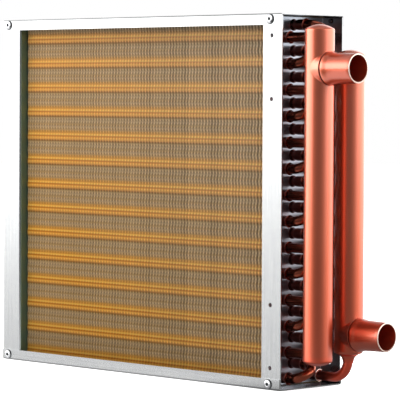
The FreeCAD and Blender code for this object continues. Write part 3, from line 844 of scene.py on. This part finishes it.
# %% Room that metal mirrors
world = bpy.data.worlds.new("studio")
bpy.context.scene.world = world
world.use_nodes = True
tree = world.node_tree
tree.nodes.clear()
look = add(tree, "ShaderNodeTexCoord").outputs["Generated"]


def patch(azimuth, elevation, outer, inner, low, high):
    """A soft round patch: low outside the outer angle from its middle, and high inside the inner one."""
    a, e = math.radians(azimuth), math.radians(elevation)
    middle = (math.cos(a) * math.cos(e), math.sin(a) * math.cos(e), math.sin(e))
    near = add(tree, "ShaderNodeVectorMath", {0: look, 1: middle}, operation="DOT_PRODUCT")
    return add(tree, "ShaderNodeMapRange", {
        "Value": near.outputs["Value"], "From Min": math.cos(math.radians(outer)),
        "From Max": math.cos(math.radians(inner)), "To Min": low, "To Max": high},
        interpolation_type="SMOOTHSTEP").outputs["Result"]


left_lamp = patch(-155, 12, 66, 34, 0.0, 3.3)
right_lamp = patch(65, 10, 80, 40, 0.0, 1.9)
dark_wall = patch(-60, 0, 46, 12, 1.0, 0.48)
ceiling = patch(0, 90, 68, 47, 1.0, 0.18)
skylight = patch(0, 90, 26, 12, 0.0, 0.8)
room = 0.5
for share, how in ((left_lamp, "ADD"), (right_lamp, "ADD"), (dark_wall, "MULTIPLY"), (ceiling, "MULTIPLY"),
                   (skylight, "ADD")):
    room = add(tree, "ShaderNodeMath", {0: room, 1: share}, operation=how).outputs[0]
print("room of five patches")

# %% [markdown]
# A world can answer each kind of ray on its own, by the Light Path node. The camera and clear glass get
# white paper, mirrors get the room, and all else gets an even soft light from every side.

# %% World
path = add(tree, "ShaderNodeLightPath")
soft = add(tree, "ShaderNodeBackground", {"Color": (1, 1, 1, 1), "Strength": 1.6})
reflected = add(tree, "ShaderNodeBackground", {"Color": (1, 1, 1, 1), "Strength": room})
paper = add(tree, "ShaderNodeBackground", {"Color": (1, 1, 1, 1), "Strength": 1.0})
direct = add(tree, "ShaderNodeMath", {0: path.outputs["Is Camera Ray"],
                                      1: path.outputs["Is Transmission Ray"]}, operation="MAXIMUM")
glossy = add(tree, "ShaderNodeMixShader", {0: path.outputs["Is Glossy Ray"], 1: soft.outputs[0],
                                           2: reflected.outputs[0]})
sky = add(tree, "ShaderNodeMixShader", {0: direct.outputs[0], 1: glossy.outputs[0], 2: paper.outputs[0]})
add(tree, "ShaderNodeOutputWorld", {"Surface": sky.outputs[0]})
print("studio world of %d nodes" % len(tree.nodes))

# %% [markdown]
# ## Lamps
# The world alone gives light from everywhere, and a coil in it looks flat. Three wide area lamps model
# it: a key from the left front, a weak fill from the right and one from above. Metal would show them as
# hard white oblongs, so mirrors don't see them. They see the patches above.

# %% Lamps
COIL_MIDDLE = Vector((0, 0, 0.18))


def lamp(name, place, width, height, watts):
    """A rectangle of light at a place in metres, turned so that it shines at the coil's middle."""
    made = bpy.data.lights.new(name, "AREA")
    made.shape, made.size, made.size_y, made.energy = "RECTANGLE", width, height, watts
    box = bpy.data.objects.new(name, made)
    box.location = place
    box.visible_glossy = False
    box.rotation_euler = (COIL_MIDDLE - Vector(place)).to_track_quat("-Z", "Y").to_euler()
    bpy.context.scene.collection.objects.link(box)
    print("%-12s %4.1f x %.1f m, %d W" % (name, width, height, watts))


lamp("key_left", (-1.5, -1.7, 1.1), 1.8, 1.4, 50)
lamp("fill_right", (2.0, 0.6, 1.0), 1.6, 1.4, 12)
lamp("top", (0.2, -0.6, 2.2), 1.8, 1.8, 30)

# %% [markdown]
# ## Floor
# A sheet of white paper lies under the coil, half a millimetre below it. The camera sees paper, which
# keeps the coil's own shadow. Metal sees the same floor by another light: darker in the shade at the
# pipe end's foot and towards the camera, and brighter towards the key lamp. A real studio does that
# with black screens and more lamps. Here three slopes of brightness are multiplied.

# %% Floor
TO_CAMERA, TO_LAMP = (0.709, -0.705, 0), (-0.709, -0.705, 0)
SHADE_MIDDLE = (0.31, 0.02, 0)
# What is measured, where the slope begins and ends in metres, brightness at each end, and how it bends
SLOPES = ((TO_CAMERA, "DOT_PRODUCT", 0.19, 0.5, 1.0, 0.1, "SMOOTHSTEP"),
          (TO_LAMP, "DOT_PRODUCT", 0.0, 4.5, 1.14, 2.2, "LINEAR"),
          (SHADE_MIDDLE, "DISTANCE", 0.08, 0.26, 0.2, 1.0, "SMOOTHSTEP"))

bpy.ops.mesh.primitive_plane_add(size=12, location=(0, 0, -0.0005))
floor = bpy.context.object
floor.name = "floor"
white, tree = finish("white_floor")
path = add(tree, "ShaderNodeLightPath")
where = add(tree, "ShaderNodeTexCoord").outputs["Object"]
level = 1.0
for point, measure, begins, ends, low, high, blend in SLOPES:
    metres = add(tree, "ShaderNodeVectorMath", {0: where, 1: point}, operation=measure)
    slope = add(tree, "ShaderNodeMapRange", {
        "Value": metres.outputs["Value"], "From Min": begins, "From Max": ends, "To Min": low,
        "To Max": high}, interpolation_type=blend)
    level = add(tree, "ShaderNodeMath", {0: level, 1: slope.outputs["Result"]},
                operation="MULTIPLY").outputs[0]
matt = add(tree, "ShaderNodeBsdfDiffuse", {"Color": (0.8, 0.8, 0.8, 1)})
lift = add(tree, "ShaderNodeEmission", {"Strength": 0.75})
paper = add(tree, "ShaderNodeAddShader", {0: matt.outputs[0], 1: lift.outputs[0]})
reflected = add(tree, "ShaderNodeEmission", {"Strength": level})
glossy = add(tree, "ShaderNodeMixShader", {0: path.outputs["Is Glossy Ray"], 1: matt.outputs[0],
                                           2: reflected.outputs[0]})
seen = add(tree, "ShaderNodeMixShader", {0: path.outputs["Is Camera Ray"], 1: glossy.outputs[0],
                                         2: paper.outputs[0]})
coat(white, seen, [floor])

# %% [markdown]
# ## Close
# The Standard view shows a colour about as it is written.

# %% Close
bpy.context.scene.view_settings.view_transform = "Standard"
